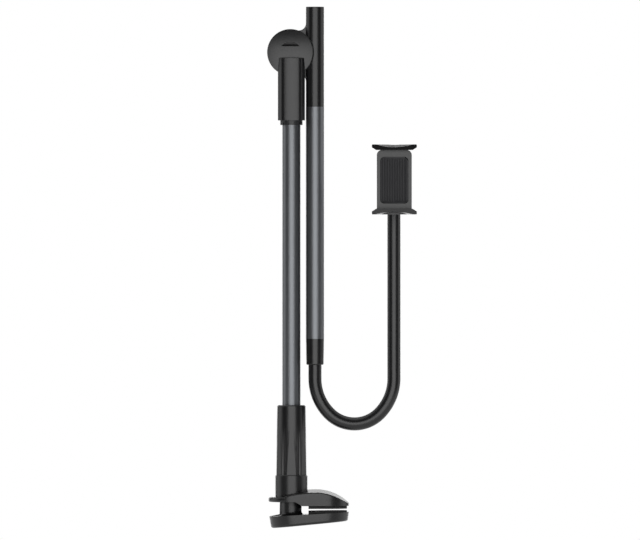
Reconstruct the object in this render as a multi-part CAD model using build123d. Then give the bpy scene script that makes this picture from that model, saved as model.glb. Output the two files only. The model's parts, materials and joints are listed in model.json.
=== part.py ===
"""Clamp-on phone gooseneck holder, one solid for each physical piece.

Everything is drawn with the column's axis on X = 0 and the table top on Z = 0, and is
shifted at export so that the origin is the middle of the upper jaw pad's clamping face.
+X runs along the jaws to their tips, +Z is up and -Y is the front.
"""
import os
from math import atan, cos, degrees, radians, sin, sqrt, tan

from build123d import *

# Driving dimensions, in mm
TUBE_D = 22.0  # both aluminium tubes
TUBE_WALL = 1.2
NECK_D = 16.0  # gooseneck sleeve
CORE_D = 8.0  # gooseneck core wire
COLUMN_TOP = 500.0  # top end of the lower tube
HINGE_RISE = 52.0  # hinge axis above the lower tube's end
ROD_ABOVE = 55.0  # hinge axis to the top of the upper arm
ROD_BELOW = 66.0  # hinge axis to the joint with the upper tube
UPPER_TUBE_L = 280.7
FERRULE_L = 31.5
LEG_SPACING = 95.5  # between the two straight legs of the gooseneck
PHONE_GAP = 72.2  # between the clip's pads when the springs have closed it
CLIP_W = 54.0  # width of the clip's jaws
CLAMP_TRAVEL = 50.0  # how far the lower jaw goes down
JAW_LENGTH = 97.5
GRIP_L = 84.5

# Fits and clearances
RUN = 0.08  # radial, shafts and pins that turn
SLIDE = 0.3  # sliding guides
PRESS = 0.02  # radial, pressed and glued joints
FACE = 0.1  # between faces that rub on each other
CLEAR = 0.6  # between moving pieces that never touch

# Hinge head and arm
TUBE_R = TUBE_D / 2
BUSH_R = TUBE_R + 1.9
SLEEVE_R = BUSH_R + 3.45
ARM_GAP = 1.15  # between the sleeve and the arm when folded
ARM_X = SLEEVE_R + ARM_GAP + TUBE_R
DISC_R = ARM_X - 0.5
HINGE_X = -1.3  # hinge axis beside the column's axis
HINGE_Z = COLUMN_TOP + HINGE_RISE
SLEEVE_Z = COLUMN_TOP - 30.5
RING_H = 5.5  # part of the bush that shows below the sleeve
HEAD_TOP = HINGE_Z - 7.0  # where the sleeve ends in front of the disc
DISC_FRONT = -5.8  # Y of the front disc's face, under the cap
DISC_BACK = -0.5
HUB_BACK = 9.0
WEB_FLOOR = 4.5  # Y where the hub's rear recess ends
CAP_CROWN = 4.0  # cap height over the disc's face
SCOOP_Z = 7.3  # straight edge of the cap's notch above the hinge axis
SCOOP_W = 21.6
SCOOP_H = 5.2
SCOOP_DEPTH = 3.2  # at the straight edge, behind the cap's front
SCOOP_LIP = 0.5  # and at the top of the arc
REAR_CROWN = 3.6
REAR_CAP_R = DISC_R - 7.0
WEB_R = 8.5  # concave webs between hub and rod
BOLT_R = 4.0
BOLT_HEAD_R = 6.3
WASHER_T = 1.6
NUT_R = 7.2
NUT_T = 4.0

# Clamp
PAD_T = 3.4  # upper pad below the jaw
PAD_SUNK = 1.0  # pads let into the jaws
PAD_L = 46.6
PAD_INSET = 2.4  # pad to jaw tip
TIP_GAP = 2.1  # between the pads at their tips when closed
PAD_PROUD = 1.9  # lower pad above its jaw, at the tip
PAD_SLOPE = 1.0  # of the lower pad's face, in degrees, so that it closes at the tip first
JAW_SLOPE = 3.3  # of the lower jaw's upper side
SOLE_SLOPE = 5.5  # of its underside
JAW_REAR = -27.8
JAW_TIP = JAW_REAR + JAW_LENGTH
PAD_X = JAW_TIP - PAD_INSET - PAD_L / 2
GRIP_TOP_R = TUBE_R + 6.25
GRIP_BASE_R = GRIP_TOP_R + 1.2
COLLAR_R = GRIP_BASE_R + 1.15
SHOULDER = 10.4  # jaws beyond the collar, at each side
JAW_W = 2 * (COLLAR_R + SHOULDER)
HEEL_H = 14.6  # height of the lower jaw at its rear
HEEL_LEAN = 10.0  # how its rear end runs in downwards, in degrees
TOE_LEAN = 8.0  # and its tip
BRIM_UNDER = 8.0
BRIM_TOP = 13.9
COLLAR_TOP = 40.5
GRIP_BOTTOM = COLLAR_TOP + FACE
GRIP_TOP = GRIP_BOTTOM + GRIP_L
ARCH_X = 30.0  # where the arch is highest
ARCH_TOP = 23.4
ARCH_CROWN = 3.7  # middle of the arch above its sides
RIDGE = 4.0  # half width of the rounded ridge along its middle
ARCH_DROP = 16.5  # highest point to the tip
ARCH_FRONT_R = ((JAW_TIP - ARCH_X) ** 2 + ARCH_DROP ** 2) / (2 * ARCH_DROP)
ARCH_REAR_R = 150.0
POST_R = 12.4
POST_FOOT = 4.0  # fillet round the foot of the post
POST_FLAT = 9.6  # flat on the rear of the post, which keeps it from turning
SPIGOT_R = 15.8
SPIGOT_Z = COLLAR_TOP - 15.0
SNAP_R = SPIGOT_R + 1.6
SNAP_Z = SPIGOT_Z + 4.5
SNAP_T = 1.4
WEB_Z = GRIP_TOP - 29.0  # underside of the grip's web
WEB_T = 8.0
SOCKET_Z = WEB_Z + WEB_T
SCREW_R = 5.0
SCREW_HEAD_R = 8.0
SCREW_HEAD_T = 6.0
POST_TOP = WEB_Z - 8.0
POST_NUT_R = 8.5
POST_NUT_L = 14.0
SCREW_SPARE = 6.0  # screw end to the floor of the post's bore
FLUTES = 6
FLUTE_R = 3.2
FLUTE_DEPTH = 1.4
GRIP_FLAT = GRIP_BASE_R - 0.8  # slight flats between the flutes, fading out upwards
FLUTE_RUN = 60.0  # how far up the grip the flutes reach

# Gooseneck
NECK_R = NECK_D / 2
CORE_R = CORE_D / 2
TUBE_TOP = HINGE_Z - ROD_BELOW
TUBE_END = TUBE_TOP - UPPER_TUBE_L
FERRULE_END = TUBE_END - FERRULE_L
NECK_IN = 28.0  # length of neck inside the ferrule
SPRING_Z = FERRULE_END - 16.5  # where the bend starts
SIDE_R = 60.0  # radius of the bend's two sides
LEG_X = ARM_X + LEG_SPACING
SEAM_Z = SPRING_Z + 20.0
TIP_BEND_R = 35.0
CUP_IN = 7.0  # neck inside the ball stud's cup

# Clip
CLIP_Z = SPRING_Z + 240.2  # height of the ball
CUP_FRONT = -(TIP_BEND_R + 11.0)
BALL_R = 8.0
BALL_Y = CUP_FRONT - 14.0
COVER_Y = BALL_Y - 8.0  # rear face of the clip
COVER_T = 4.0
BODY_Y = COVER_Y - COVER_T
BODY_T = 8.5
BODY_FRONT = BODY_Y - BODY_T
BODY_W = 42.0
WALL = 2.4
LINING = 1.4  # silicone linings
REST_Y = BODY_FRONT - LINING
LIP_T = 3.0
PHONE_DEPTH = 10.0
LIP_Y = REST_Y - PHONE_DEPTH
JAW_T = 4.6
LOW_GRIP = CLIP_Z - PHONE_GAP / 2
TOP_GRIP = CLIP_Z + PHONE_GAP / 2
LIP_OVER = 0.8  # how far the lips reach over the phone
EAR_W = 3.2  # flat end of a jaw beside its dished face
EAR_H = 3.6
EAR_SLANT = 5.0  # how far a jaw's ends run in towards the phone
DISH = 3.5  # depth of the dished face at the front
DISH_TILT = 8.0  # in degrees, rising to the back
LIP_LEAN = 20.0  # of the lips' front faces, in degrees, away from the phone
BODY_BOTTOM = LOW_GRIP - LINING - JAW_T
BODY_TOP = TOP_GRIP - CLEAR
SCREW_INSET = 4.5  # housing screws from the housing's sides
BOSS_R = 3.0
CLIP_SPRING_R = 2.2
CLIP_SPRING_X = BODY_W / 2 - SCREW_INSET - BOSS_R - CLIP_SPRING_R - 0.4
TONGUE_W = 2 * (CLIP_SPRING_X - CLIP_SPRING_R - 0.7)
TONGUE_T = 2.4
TONGUE_L = 46.0
TONGUE_Y = BODY_FRONT + WALL + SLIDE

UP = (Align.CENTER, Align.CENTER, Align.MIN)


def rod(r, z0, z1, x=0.0, y=0.0):
    """Upright cylinder from z0 to z1."""
    return Pos(x, y, z0) * Cylinder(r, z1 - z0, align=UP)


def pin(r, y0, y1, x=HINGE_X, z=HINGE_Z):
    """Cylinder along Y from y0 to y1, on the hinge axis unless placed elsewhere."""
    return Pos(x, y0, z) * Rot(-90, 0, 0) * Cylinder(r, y1 - y0, align=UP)


def block(x0, x1, y0, y1, z0, z1):
    """Box between two corners."""
    middle = Pos((x0 + x1) / 2, (y0 + y1) / 2, (z0 + z1) / 2)
    return middle * Box(x1 - x0, y1 - y0, z1 - z0)


def plate(points, y0, y1, corner=0.0, corners=()):
    """Polygon in X and Z, extruded from y0 to y1, with some of its corners rounded."""
    outline = Polygon(*points, align=None)
    if corners:
        near = [outline.vertices().sort_by_distance((*points[i], 0))[0] for i in corners]
        outline = fillet(near, corner)
    return Pos(0, y1, 0) * extrude(Plane.XZ * outline, amount=y1 - y0, dir=(0, -1, 0))


def hexagon(r, y0, y1, x=HINGE_X, z=HINGE_Z):
    """Hexagonal prism along Y."""
    outline = Plane.XZ * RegularPolygon(r, 6)
    return Pos(x, y1, z) * extrude(outline, amount=y1 - y0)


def upright_hexagon(r, z0, z1):
    """Hexagonal prism along the column's axis."""
    return extrude(Pos(0, 0, z0) * RegularPolygon(r, 6), amount=z1 - z0)


def dome(r, y0, crown):
    """Shallow domed disc whose flat side is at y0; a negative crown faces the front."""
    edge = 0.25 * abs(crown)
    sag = abs(crown) - edge
    ball_r = (r * r + sag * sag) / (2 * sag)
    side = 1 if crown > 0 else -1
    low, high = sorted((y0, y0 + crown))
    return pin(r, low, high) & Pos(HINGE_X, y0 + crown - side * ball_r, HINGE_Z) * Sphere(ball_r)


# Clamp


def jaw_top(x):
    """Height of the lower jaw's upper side."""
    return -TIP_GAP - PAD_PROUD - (JAW_TIP - PAD_INSET - x) * tan(radians(JAW_SLOPE))


def bore_floor():
    """Bottom of the bore in the guide post."""
    return jaw_top(0) + 4.0


def jaw_bottom(x):
    """Height of the lower jaw's underside."""
    return jaw_top(JAW_REAR) - HEEL_H + (x - JAW_REAR) * tan(radians(SOLE_SLOPE))


def pad_top(x):
    """Height of the lower pad's clamping face."""
    return -TIP_GAP - (JAW_TIP - PAD_INSET - x) * tan(radians(PAD_SLOPE))


def jaw_outline(inset=0.0):
    """Outline that both jaws share, seen from above, with straight sides and full-round ends."""
    outline = SlotOverall(JAW_LENGTH - 2 * inset, JAW_W - 2 * inset)
    return Pos((JAW_REAR + JAW_TIP) / 2, 0) * outline


def jaw_prism(z0, z1):
    """Upright block with the jaws' outline."""
    return extrude(Pos(0, 0, z0) * jaw_outline(), amount=z1 - z0)


def pad_prism(z0, z1, grow=0.0):
    """Upright block with a pad's outline, round like the jaw at the tip and straight at the root."""
    outline = jaw_outline(PAD_INSET) & Pos(PAD_X, 0) * Rectangle(PAD_L, JAW_W)
    outline = fillet(outline.vertices().sort_by(Axis.X)[:2], 2.0)
    if grow:
        outline = offset(outline, grow)
    return extrude(Pos(0, 0, z0) * outline, amount=z1 - z0)


def post(r, flat, z0, z1):
    """Round post with one flat at the rear."""
    return rod(r, z0, z1) & block(-r - 1, r + 1, -r - 1, flat, z0, z1)


def arch(r, side):
    """Half of a crowned barrel, in front of its highest point (1) or behind it (-1)."""
    half = JAW_W / 2
    edge = ARCH_TOP - ARCH_CROWN
    root = edge - r / 2
    brow = edge + ARCH_CROWN * (half - RIDGE) / (half - RIDGE / 2)
    ridge = ThreePointArc((-RIDGE, brow), (0, ARCH_TOP), (RIDGE, brow))
    sides = Polyline((RIDGE, brow), (half, edge), (half, root), (-half, root), (-half, edge), (-RIDGE, brow))
    face = Plane.YZ.offset(ARCH_X) * make_face([ridge, sides])
    return revolve(face, Axis((ARCH_X, 0, ARCH_TOP - r), (0, side, 0)), 90)


def is_arch_edge(edge):
    """True along the rim of the upper jaw's arch."""
    spot = edge.center()
    return spot.Z > PAD_T + 0.5 and spot.X > -7.9 and edge.geom_type != GeomType.LINE


def is_brim_edge(edge):
    """True along the brim's upper and lower outline."""
    spot = edge.center()
    return spot.X < -0.1 and abs(spot.Z - (BRIM_UNDER + BRIM_TOP) / 2) > 1


def make_upper_jaw():
    """Arched jaw, brim and collar in one moulding, bored for the post and the grip."""
    side = JAW_W
    arm = jaw_prism(PAD_T, ARCH_TOP + 1) & (arch(ARCH_FRONT_R, 1) + arch(ARCH_REAR_R, -1))
    arm = arm & block(-8, JAW_TIP + 1, -side, side, 0, ARCH_TOP + 1)
    arm = fillet([e for e in arm.edges() if is_arch_edge(e)], 1.5)
    brim = jaw_prism(BRIM_UNDER, BRIM_TOP) & block(JAW_REAR - 1, 0, -side, side, 0, BRIM_TOP)
    brim = fillet([e for e in brim.edges() if is_brim_edge(e)], 2.2)
    collar = rod(COLLAR_R, BRIM_UNDER, COLLAR_TOP)
    collar = chamfer(collar.edges().group_by(Axis.Z)[-1], 0.8)
    body = arm + brim + collar
    throat = POST_R + SLIDE + 0.4
    under = plate(
        [(JAW_REAR - 1, -1), (throat, -1), (throat, PAD_T), (throat - 8, BRIM_UNDER),
         (JAW_REAR - 1, BRIM_UNDER)],
        -side,
        side,
    )
    body -= under
    body -= post(POST_R + SLIDE, POST_FLAT + SLIDE, 0, COLLAR_TOP)
    body -= rod(SPIGOT_R + RUN, SPIGOT_Z - FACE, COLLAR_TOP + 1)
    body -= rod(SNAP_R, SNAP_Z, SNAP_Z + SNAP_T)
    return body - pad_prism(PAD_T - 1, PAD_T + PAD_SUNK, PRESS)


def make_upper_pad():
    """Flat pad whose lower face meets the table top."""
    return pad_prism(0, PAD_T + PAD_SUNK)


def is_sole_edge(edge):
    """True along the outline of the lower jaw's underside."""
    return all(abs(v.Z - jaw_bottom(v.X)) < 0.01 for v in edge.vertices())


def is_post_foot(edge):
    """True where the post rises from the lower jaw."""
    spot = edge.center()
    return abs(spot.Z - jaw_top(spot.X)) < 0.2 and abs(spot.X) < 2 and abs(spot.Y) < POST_R + 1


def leaning(outline, lean):
    """Block below an outline, leaning towards the tip by some degrees."""
    return extrude(outline, amount=40, dir=(sin(radians(lean)), 0, -cos(radians(lean))))


def make_lower_jaw():
    """Wedge-shaped jaw, rising to its tip, with the hollow guide post."""
    half = JAW_W / 2
    rear = JAW_REAR - 5
    tip = JAW_TIP + 5
    outline = Pos(0, 0, jaw_top(JAW_TIP)) * jaw_outline()
    body = leaning(outline, HEEL_LEAN) & leaning(outline, -TOE_LEAN)
    body -= plate([(rear, jaw_bottom(rear)), (tip, jaw_bottom(tip)), (tip, -60), (rear, -60)], -JAW_W, JAW_W)
    body = fillet([e for e in body.edges() if is_sole_edge(e)], 3.0)
    body -= plate([(rear, jaw_top(rear)), (tip, jaw_top(tip)), (tip, 9), (rear, 9)], -JAW_W, JAW_W)
    body += post(POST_R, POST_FLAT, jaw_top(0) - 3, POST_TOP)
    body = fillet([e for e in body.edges() if is_post_foot(e)], POST_FOOT)
    recess = pad_prism(-40, 0, PRESS) & seat(PAD_SUNK, half)
    body -= recess
    body -= rod(SCREW_R + CLEAR, bore_floor(), POST_TOP + 1)
    return body - upright_hexagon(POST_NUT_R + PRESS, POST_TOP - POST_NUT_L, POST_TOP + 1)


def seat(depth, half):
    """Wedge above the floor of the lower pad's recess."""
    root = PAD_X - PAD_L / 2 - 1
    tip = JAW_TIP
    return plate(
        [(root, jaw_top(root) - depth), (tip, jaw_top(tip) - depth), (tip, 0), (root, 0)],
        -half,
        half,
    )


def make_lower_pad():
    """Pad between the recess's floor and the clamping face."""
    half = JAW_W / 2
    root = PAD_X - PAD_L / 2 - 1
    face = plate(
        [(root, -30), (JAW_TIP, -30), (JAW_TIP, pad_top(JAW_TIP)), (root, pad_top(root))],
        -half,
        half,
    )
    return pad_prism(-40, 0) & seat(PAD_SUNK, half) & face


def make_post_nut():
    """Hexagonal insert that runs on the screw."""
    body = upright_hexagon(POST_NUT_R, POST_TOP - POST_NUT_L, POST_TOP)
    return body - rod(SCREW_R + RUN, POST_TOP - POST_NUT_L, POST_TOP)


def make_screw():
    """Lead screw; its head sits in the grip's web and turns with it."""
    head = WEB_Z + WEB_T - 4.0
    shank = rod(SCREW_R, bore_floor() + SCREW_SPARE, head)
    shank = chamfer(shank.edges().group_by(Axis.Z)[0], 1.0)
    return shank + upright_hexagon(SCREW_HEAD_R, head, head + SCREW_HEAD_T)


def make_grip():
    """Tapered grip with flutes that fade out upwards, on a spigot in the collar."""
    cone = Cone(GRIP_BASE_R, GRIP_TOP_R, GRIP_L, align=UP)
    cone = chamfer(cone.edges().group_by(Axis.Z)[-1], 1.2)
    body = Pos(0, 0, GRIP_BOTTOM) * cone
    body = body & upright_hexagon(GRIP_FLAT / cos(radians(30)), GRIP_BOTTOM, GRIP_TOP)
    lean = (GRIP_BASE_R - GRIP_TOP_R) / GRIP_L
    deep = GRIP_BASE_R + FLUTE_R - FLUTE_DEPTH
    shallow = GRIP_BASE_R - lean * FLUTE_RUN + FLUTE_R
    turn = degrees(atan((shallow - deep) / FLUTE_RUN))
    for i in range(FLUTES):
        cutter = Pos(deep, 0, GRIP_BOTTOM) * Rot(0, turn, 0) * Cylinder(FLUTE_R, 3 * FLUTE_RUN)
        body -= Rot(0, 0, 360 / FLUTES * i) * cutter
    body += rod(SPIGOT_R, SPIGOT_Z, GRIP_BOTTOM + 1)
    groove = rod(SPIGOT_R + 1, SNAP_Z - 0.3, SNAP_Z + SNAP_T + 0.3)
    body -= groove - rod(SPIGOT_R - 1.2, SNAP_Z - 1, SNAP_Z + SNAP_T + 1)
    body -= rod(POST_R + CLEAR, SPIGOT_Z, WEB_Z)
    body -= rod(SCREW_R + PRESS, WEB_Z, SOCKET_Z)
    body -= upright_hexagon(SCREW_HEAD_R + PRESS, SOCKET_Z - 4.0, SOCKET_Z)
    return body - rod(TUBE_R + PRESS, SOCKET_Z, GRIP_TOP + 1)


def make_ring():
    """Split ring that sits in the collar and holds the spigot's groove."""
    body = rod(SNAP_R, SNAP_Z, SNAP_Z + SNAP_T)
    body -= rod(SPIGOT_R - 0.8, SNAP_Z, SNAP_Z + SNAP_T)
    return body - block(-1.5, 1.5, -2 * SNAP_R, 0, SNAP_Z, SNAP_Z + SNAP_T)


def make_lower_tube():
    """Lower aluminium tube."""
    body = rod(TUBE_R, SOCKET_Z, COLUMN_TOP)
    return body - rod(TUBE_R - TUBE_WALL, SOCKET_Z, COLUMN_TOP)


# Swivel and hinge


def make_tube_plug():
    """Plug whose flange carries the hinge head."""
    stem = rod(TUBE_R - TUBE_WALL - PRESS, COLUMN_TOP - 18, COLUMN_TOP)
    return stem + rod(BUSH_R - CLEAR, COLUMN_TOP, COLUMN_TOP + 3)


def make_bush():
    """Bush in the sleeve's mouth; its notched ring shows below the sleeve."""
    ring_z = SLEEVE_Z - RING_H
    body = rod(BUSH_R - PRESS, SLEEVE_Z - 1, COLUMN_TOP - FACE)
    body += rod(BUSH_R + 0.6, ring_z, SLEEVE_Z)
    body -= rod(TUBE_R + RUN, ring_z, COLUMN_TOP)
    for i in range(12):
        notch = block(BUSH_R - 0.6, BUSH_R + 2, -0.7, 0.7, ring_z - 1, ring_z + 3.2)
        body -= Rot(0, 0, 30 * i + 15) * notch
    return body


def make_head():
    """Sleeve and front hinge disc; the sleeve's rear half stops below the knuckle."""
    body = chamfer(rod(SLEEVE_R, SLEEVE_Z, HEAD_TOP).edges(), 0.6)
    floor = HINGE_Z - DISC_R - 3.5
    body -= block(-DISC_R, DISC_R, DISC_BACK, DISC_R, floor, HEAD_TOP + 1)
    body += pin(DISC_R, DISC_FRONT, DISC_BACK)
    body -= rod(BUSH_R, SLEEVE_Z - 1, COLUMN_TOP + 3 + 2 * FACE)
    body -= pin(BOLT_R + PRESS, DISC_FRONT - 1, DISC_BACK + 1)
    return body - hexagon(BOLT_HEAD_R + PRESS, DISC_FRONT - 1, DISC_FRONT + 2.2)


def make_cap():
    """Domed cap, notched for the sleeve, with a lens-shaped finger notch."""
    body = dome(DISC_R, DISC_FRONT, -CAP_CROWN)
    body = chamfer(body.edges().group_by(Axis.Y)[0], 0.4)
    body -= rod(SLEEVE_R + 0.15, HINGE_Z - 2 * DISC_R, HEAD_TOP + 0.15)
    body -= hexagon(BOLT_HEAD_R + 0.3, DISC_FRONT - 2.6, DISC_FRONT)
    return body - scoop()


def scoop():
    """Lens-shaped notch with a straight lower edge and a floor that slopes up to its arc."""
    low = HINGE_Z + SCOOP_Z
    high = low + SCOOP_H
    half = SCOOP_W / 2
    front = DISC_FRONT - CAP_CROWN
    arc = ThreePointArc((-half, low), (0, high), (half, low))
    lens = make_face([arc, Line((half, low), (-half, low))])
    lens = extrude(Plane.XZ * lens, amount=CAP_CROWN + 1, dir=(0, -1, 0))
    slope = Polygon(
        (front - 1, low), (front + SCOOP_DEPTH, low), (front + SCOOP_LIP, high), (front - 1, high), align=None
    )
    lens = Pos(0, DISC_FRONT, 0) * lens & extrude(Plane.YZ * slope, amount=half, both=True)
    return Pos(HINGE_X, 0, 0) * lens


def make_bolt():
    """Hinge bolt with a hexagonal head."""
    head = hexagon(BOLT_HEAD_R, DISC_FRONT - 2.2, DISC_FRONT + 2.2)
    return head + pin(BOLT_R, DISC_FRONT, WEB_FLOOR + FACE + WASHER_T + NUT_T)


def make_nut():
    """Thin nut behind the washers."""
    start = WEB_FLOOR + FACE + WASHER_T
    return hexagon(NUT_R, start, start + NUT_T) - pin(BOLT_R + PRESS, start, start + NUT_T)


def make_washers():
    """Spring washers that keep the hinge tight."""
    start = WEB_FLOOR + FACE
    return pin(9.8, start, start + WASHER_T) - pin(BOLT_R + PRESS, start, start + WASHER_T)


def make_friction_disc():
    """Friction disc between the hinge halves."""
    back = -DISC_BACK - FACE
    return pin(DISC_R - 2, DISC_BACK, back) - pin(BOLT_R + PRESS, DISC_BACK, back)


def web(side):
    """Concave web between hub and rod, above the hub (1) or below it (-1)."""
    x = ARM_X - TUBE_R - WEB_R
    rise = sqrt((DISC_R + WEB_R) ** 2 - (x - HINGE_X) ** 2)
    z = HINGE_Z + side * rise
    corner = [(HINGE_X, HINGE_Z), (x, z), (ARM_X, z), (ARM_X, HINGE_Z)]
    return plate(corner, -DISC_BACK, HUB_BACK) - pin(WEB_R, -DISC_BACK - 1, HUB_BACK + 1, x, z)


def make_knuckle():
    """Rear hinge disc, its webs and the arm's rod in one moulding."""
    top = HINGE_Z + ROD_ABOVE
    body = rod(TUBE_R, TUBE_TOP, top, ARM_X)
    body = chamfer(body.edges().group_by(Axis.Z)[-1], 0.4)
    body -= pin(DISC_R + CLEAR, -2 * DISC_R, -DISC_BACK)
    body += pin(DISC_R, -DISC_BACK, HUB_BACK)
    body += web(1) + web(-1)
    body += rod(TUBE_R - TUBE_WALL - PRESS, TUBE_TOP - 24, TUBE_TOP, ARM_X)
    body -= rod(TUBE_R - 4.5, TUBE_TOP - 25, HINGE_Z - DISC_R - 8, ARM_X)
    body -= pin(BOLT_R + RUN, -1, HUB_BACK)
    return body - pin(11.0, WEB_FLOOR, HUB_BACK + 1)


def make_rear_cap():
    """Cap over the nut."""
    body = dome(REAR_CAP_R, HUB_BACK, REAR_CROWN)
    return body - pin(9.0, HUB_BACK, HUB_BACK + 1.9)


def make_upper_tube():
    """Upper aluminium tube."""
    body = rod(TUBE_R, TUBE_END, TUBE_TOP, ARM_X)
    return body - rod(TUBE_R - TUBE_WALL, TUBE_END, TUBE_TOP, ARM_X)


# Gooseneck


def make_ferrule():
    """End fitting: a spigot in the tube and a socket for the neck."""
    skirt = Cone(TUBE_R - 0.5, TUBE_R, FERRULE_L, align=UP)
    skirt = fillet(skirt.edges().group_by(Axis.Z)[0], 1.4)
    body = Pos(ARM_X, 0, FERRULE_END) * skirt
    body += rod(TUBE_R - TUBE_WALL - PRESS, TUBE_END, TUBE_END + 22, ARM_X)
    return body - rod(NECK_R + PRESS, FERRULE_END, FERRULE_END + NECK_IN, ARM_X)


def bend(x, z, r, start, end):
    """Arc in the plane of the arms, from one angle to another."""
    spots = []
    for angle in (start, (start + end) / 2, end):
        spots.append((x + r * cos(radians(angle)), 0, z + r * sin(radians(angle))))
    return ThreePointArc(*spots)


def lower_path():
    """Out of the ferrule, round the bend and a little way up the far leg."""
    half = LEG_SPACING / 2
    split = cos(radians(45))
    foot_r = (half - SIDE_R * (1 - split)) / split
    foot_z = SPRING_Z - (SIDE_R - foot_r) * split
    return Wire([
        Line((ARM_X, 0, FERRULE_END + NECK_IN), (ARM_X, 0, SPRING_Z)),
        bend(ARM_X + SIDE_R, SPRING_Z, SIDE_R, 180, 225),
        bend(ARM_X + half, foot_z, foot_r, 225, 315),
        bend(LEG_X - SIDE_R, SPRING_Z, SIDE_R, 315, 360),
        Line((LEG_X, 0, SPRING_Z), (LEG_X, 0, SEAM_Z)),
    ])


def upper_path():
    """Up the far leg and forward into the ball stud's cup."""
    turn_z = CLIP_Z - TIP_BEND_R
    side = TIP_BEND_R * (1 - cos(radians(45)))
    rise = TIP_BEND_R * sin(radians(45))
    return Wire([
        Line((LEG_X, 0, SEAM_Z), (LEG_X, 0, turn_z)),
        ThreePointArc(
            (LEG_X, 0, turn_z), (LEG_X, -side, turn_z + rise), (LEG_X, -TIP_BEND_R, CLIP_Z)
        ),
        Line((LEG_X, -TIP_BEND_R, CLIP_Z), (LEG_X, CUP_FRONT + 4, CLIP_Z)),
    ])


def hose(path, r, hole=0.0):
    """Round section along a path, hollow if a hole is given."""
    start = Plane(origin=path @ 0, z_dir=path % 0)
    body = sweep(start * Circle(r), path=path)
    if hole:
        body -= sweep(start * Circle(hole), path=path)
    return body


def make_ball_stud():
    """Cup on the end of the neck, with the ball on a short stem."""
    mouth = CUP_FRONT + 4 + CUP_IN
    body = pin(NECK_R + 2.5, CUP_FRONT, mouth, LEG_X, CLIP_Z)
    body = chamfer(body.edges().group_by(Axis.Y)[0], 1.5)
    body -= pin(NECK_R + PRESS, CUP_FRONT + 4, mouth, LEG_X, CLIP_Z)
    body += pin(4.5, BALL_Y, CUP_FRONT, LEG_X, CLIP_Z)
    return body + Pos(LEG_X, BALL_Y, CLIP_Z) * Sphere(BALL_R)


# Clip


def make_ball_nut():
    """Ring nut that closes the socket on the ball."""
    front = BALL_Y - 5
    back = BALL_Y + 6
    body = pin(14.5, front, back, LEG_X, CLIP_Z)
    body = chamfer(body.edges().group_by(Axis.Y)[-1], 1.2)
    for i in range(18):
        turn = radians(20 * i)
        x = LEG_X + 15.2 * cos(turn)
        z = CLIP_Z + 15.2 * sin(turn)
        body -= pin(1.4, front - 1, back + 1, x, z)
    body -= pin(11.8 + RUN, front, BALL_Y + 3.6, LEG_X, CLIP_Z)
    return body - pin(8.6, front, back + 1, LEG_X, CLIP_Z)


def clip_plan(z0, z1, y0, y1, inset=0.0, corner=6.0):
    """Rounded plate behind the phone."""
    outline = RectangleRounded(BODY_W - 2 * inset, z1 - z0 - 2 * inset, corner)
    outline = Plane.XZ * outline
    return Pos(LEG_X, y1, (z0 + z1) / 2) * extrude(outline, amount=y1 - y0)


def make_back_cover():
    """Rear housing with the slotted ball socket."""
    body = clip_plan(BODY_BOTTOM, BODY_TOP, BODY_Y, COVER_Y)
    body = fillet(body.edges().group_by(Axis.Y)[-1], 1.5)
    body += pin(11.8, COVER_Y, BALL_Y + 3.5, LEG_X, CLIP_Z)
    body -= Pos(LEG_X, BALL_Y, CLIP_Z) * Sphere(BALL_R + RUN)
    for turn in (0, 90):
        slot = Box(1.2, 30, 40)
        body -= Pos(LEG_X, BALL_Y + 10.5, CLIP_Z) * Rot(0, turn, 0) * slot
    for x, z in screw_spots():
        body -= pin(1.3, BODY_Y, COVER_Y, x, z)
        body -= pin(2.6, COVER_Y - 1.6, COVER_Y, x, z)
    return body


def screw_spots():
    """Where the four housing screws go."""
    dx = BODY_W / 2 - SCREW_INSET
    low = BODY_BOTTOM + 6
    high = BODY_TOP - 6
    return [(LEG_X + sx * dx, z) for sx in (-1, 1) for z in (low, high)]


def clip_jaw(grip, side):
    """Jaw with slanting ends, a front lip and a dished outer face; side is 1 for the upper one."""
    half = CLIP_W / 2
    inner = grip + side * LINING
    outer = inner + side * JAW_T
    reach = grip - side * LIP_OVER
    front = LIP_Y - LIP_T
    points = [
        (LEG_X - half, outer), (LEG_X + half, outer), (LEG_X + half, outer - side * EAR_H),
        (LEG_X + half - EAR_SLANT, reach), (LEG_X - half + EAR_SLANT, reach),
        (LEG_X - half, outer - side * EAR_H),
    ]
    body = plate(points, front, BODY_Y, 1.0, (0, 1))
    z0, z1 = sorted((inner, reach - side))
    body -= block(LEG_X - half, LEG_X + half, LIP_Y, BODY_Y, z0, z1)
    chord = half - EAR_W
    dish_r = (chord * chord + DISH * DISH) / (2 * DISH)
    dish = Pos(0, 0, side * (dish_r - DISH)) * Rot(90, 0, 0) * Cylinder(dish_r, 3 * BODY_W)
    body -= Pos(LEG_X, front, outer) * Rot(side * DISH_TILT, 0, 0) * dish
    ahead = Pos(0, -CLIP_W / 2, 0) * Box(2 * CLIP_W, CLIP_W, 2 * CLIP_W)
    return body - Pos(LEG_X, front, reach) * Rot(-side * LIP_LEAN, 0, 0) * ahead


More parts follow.
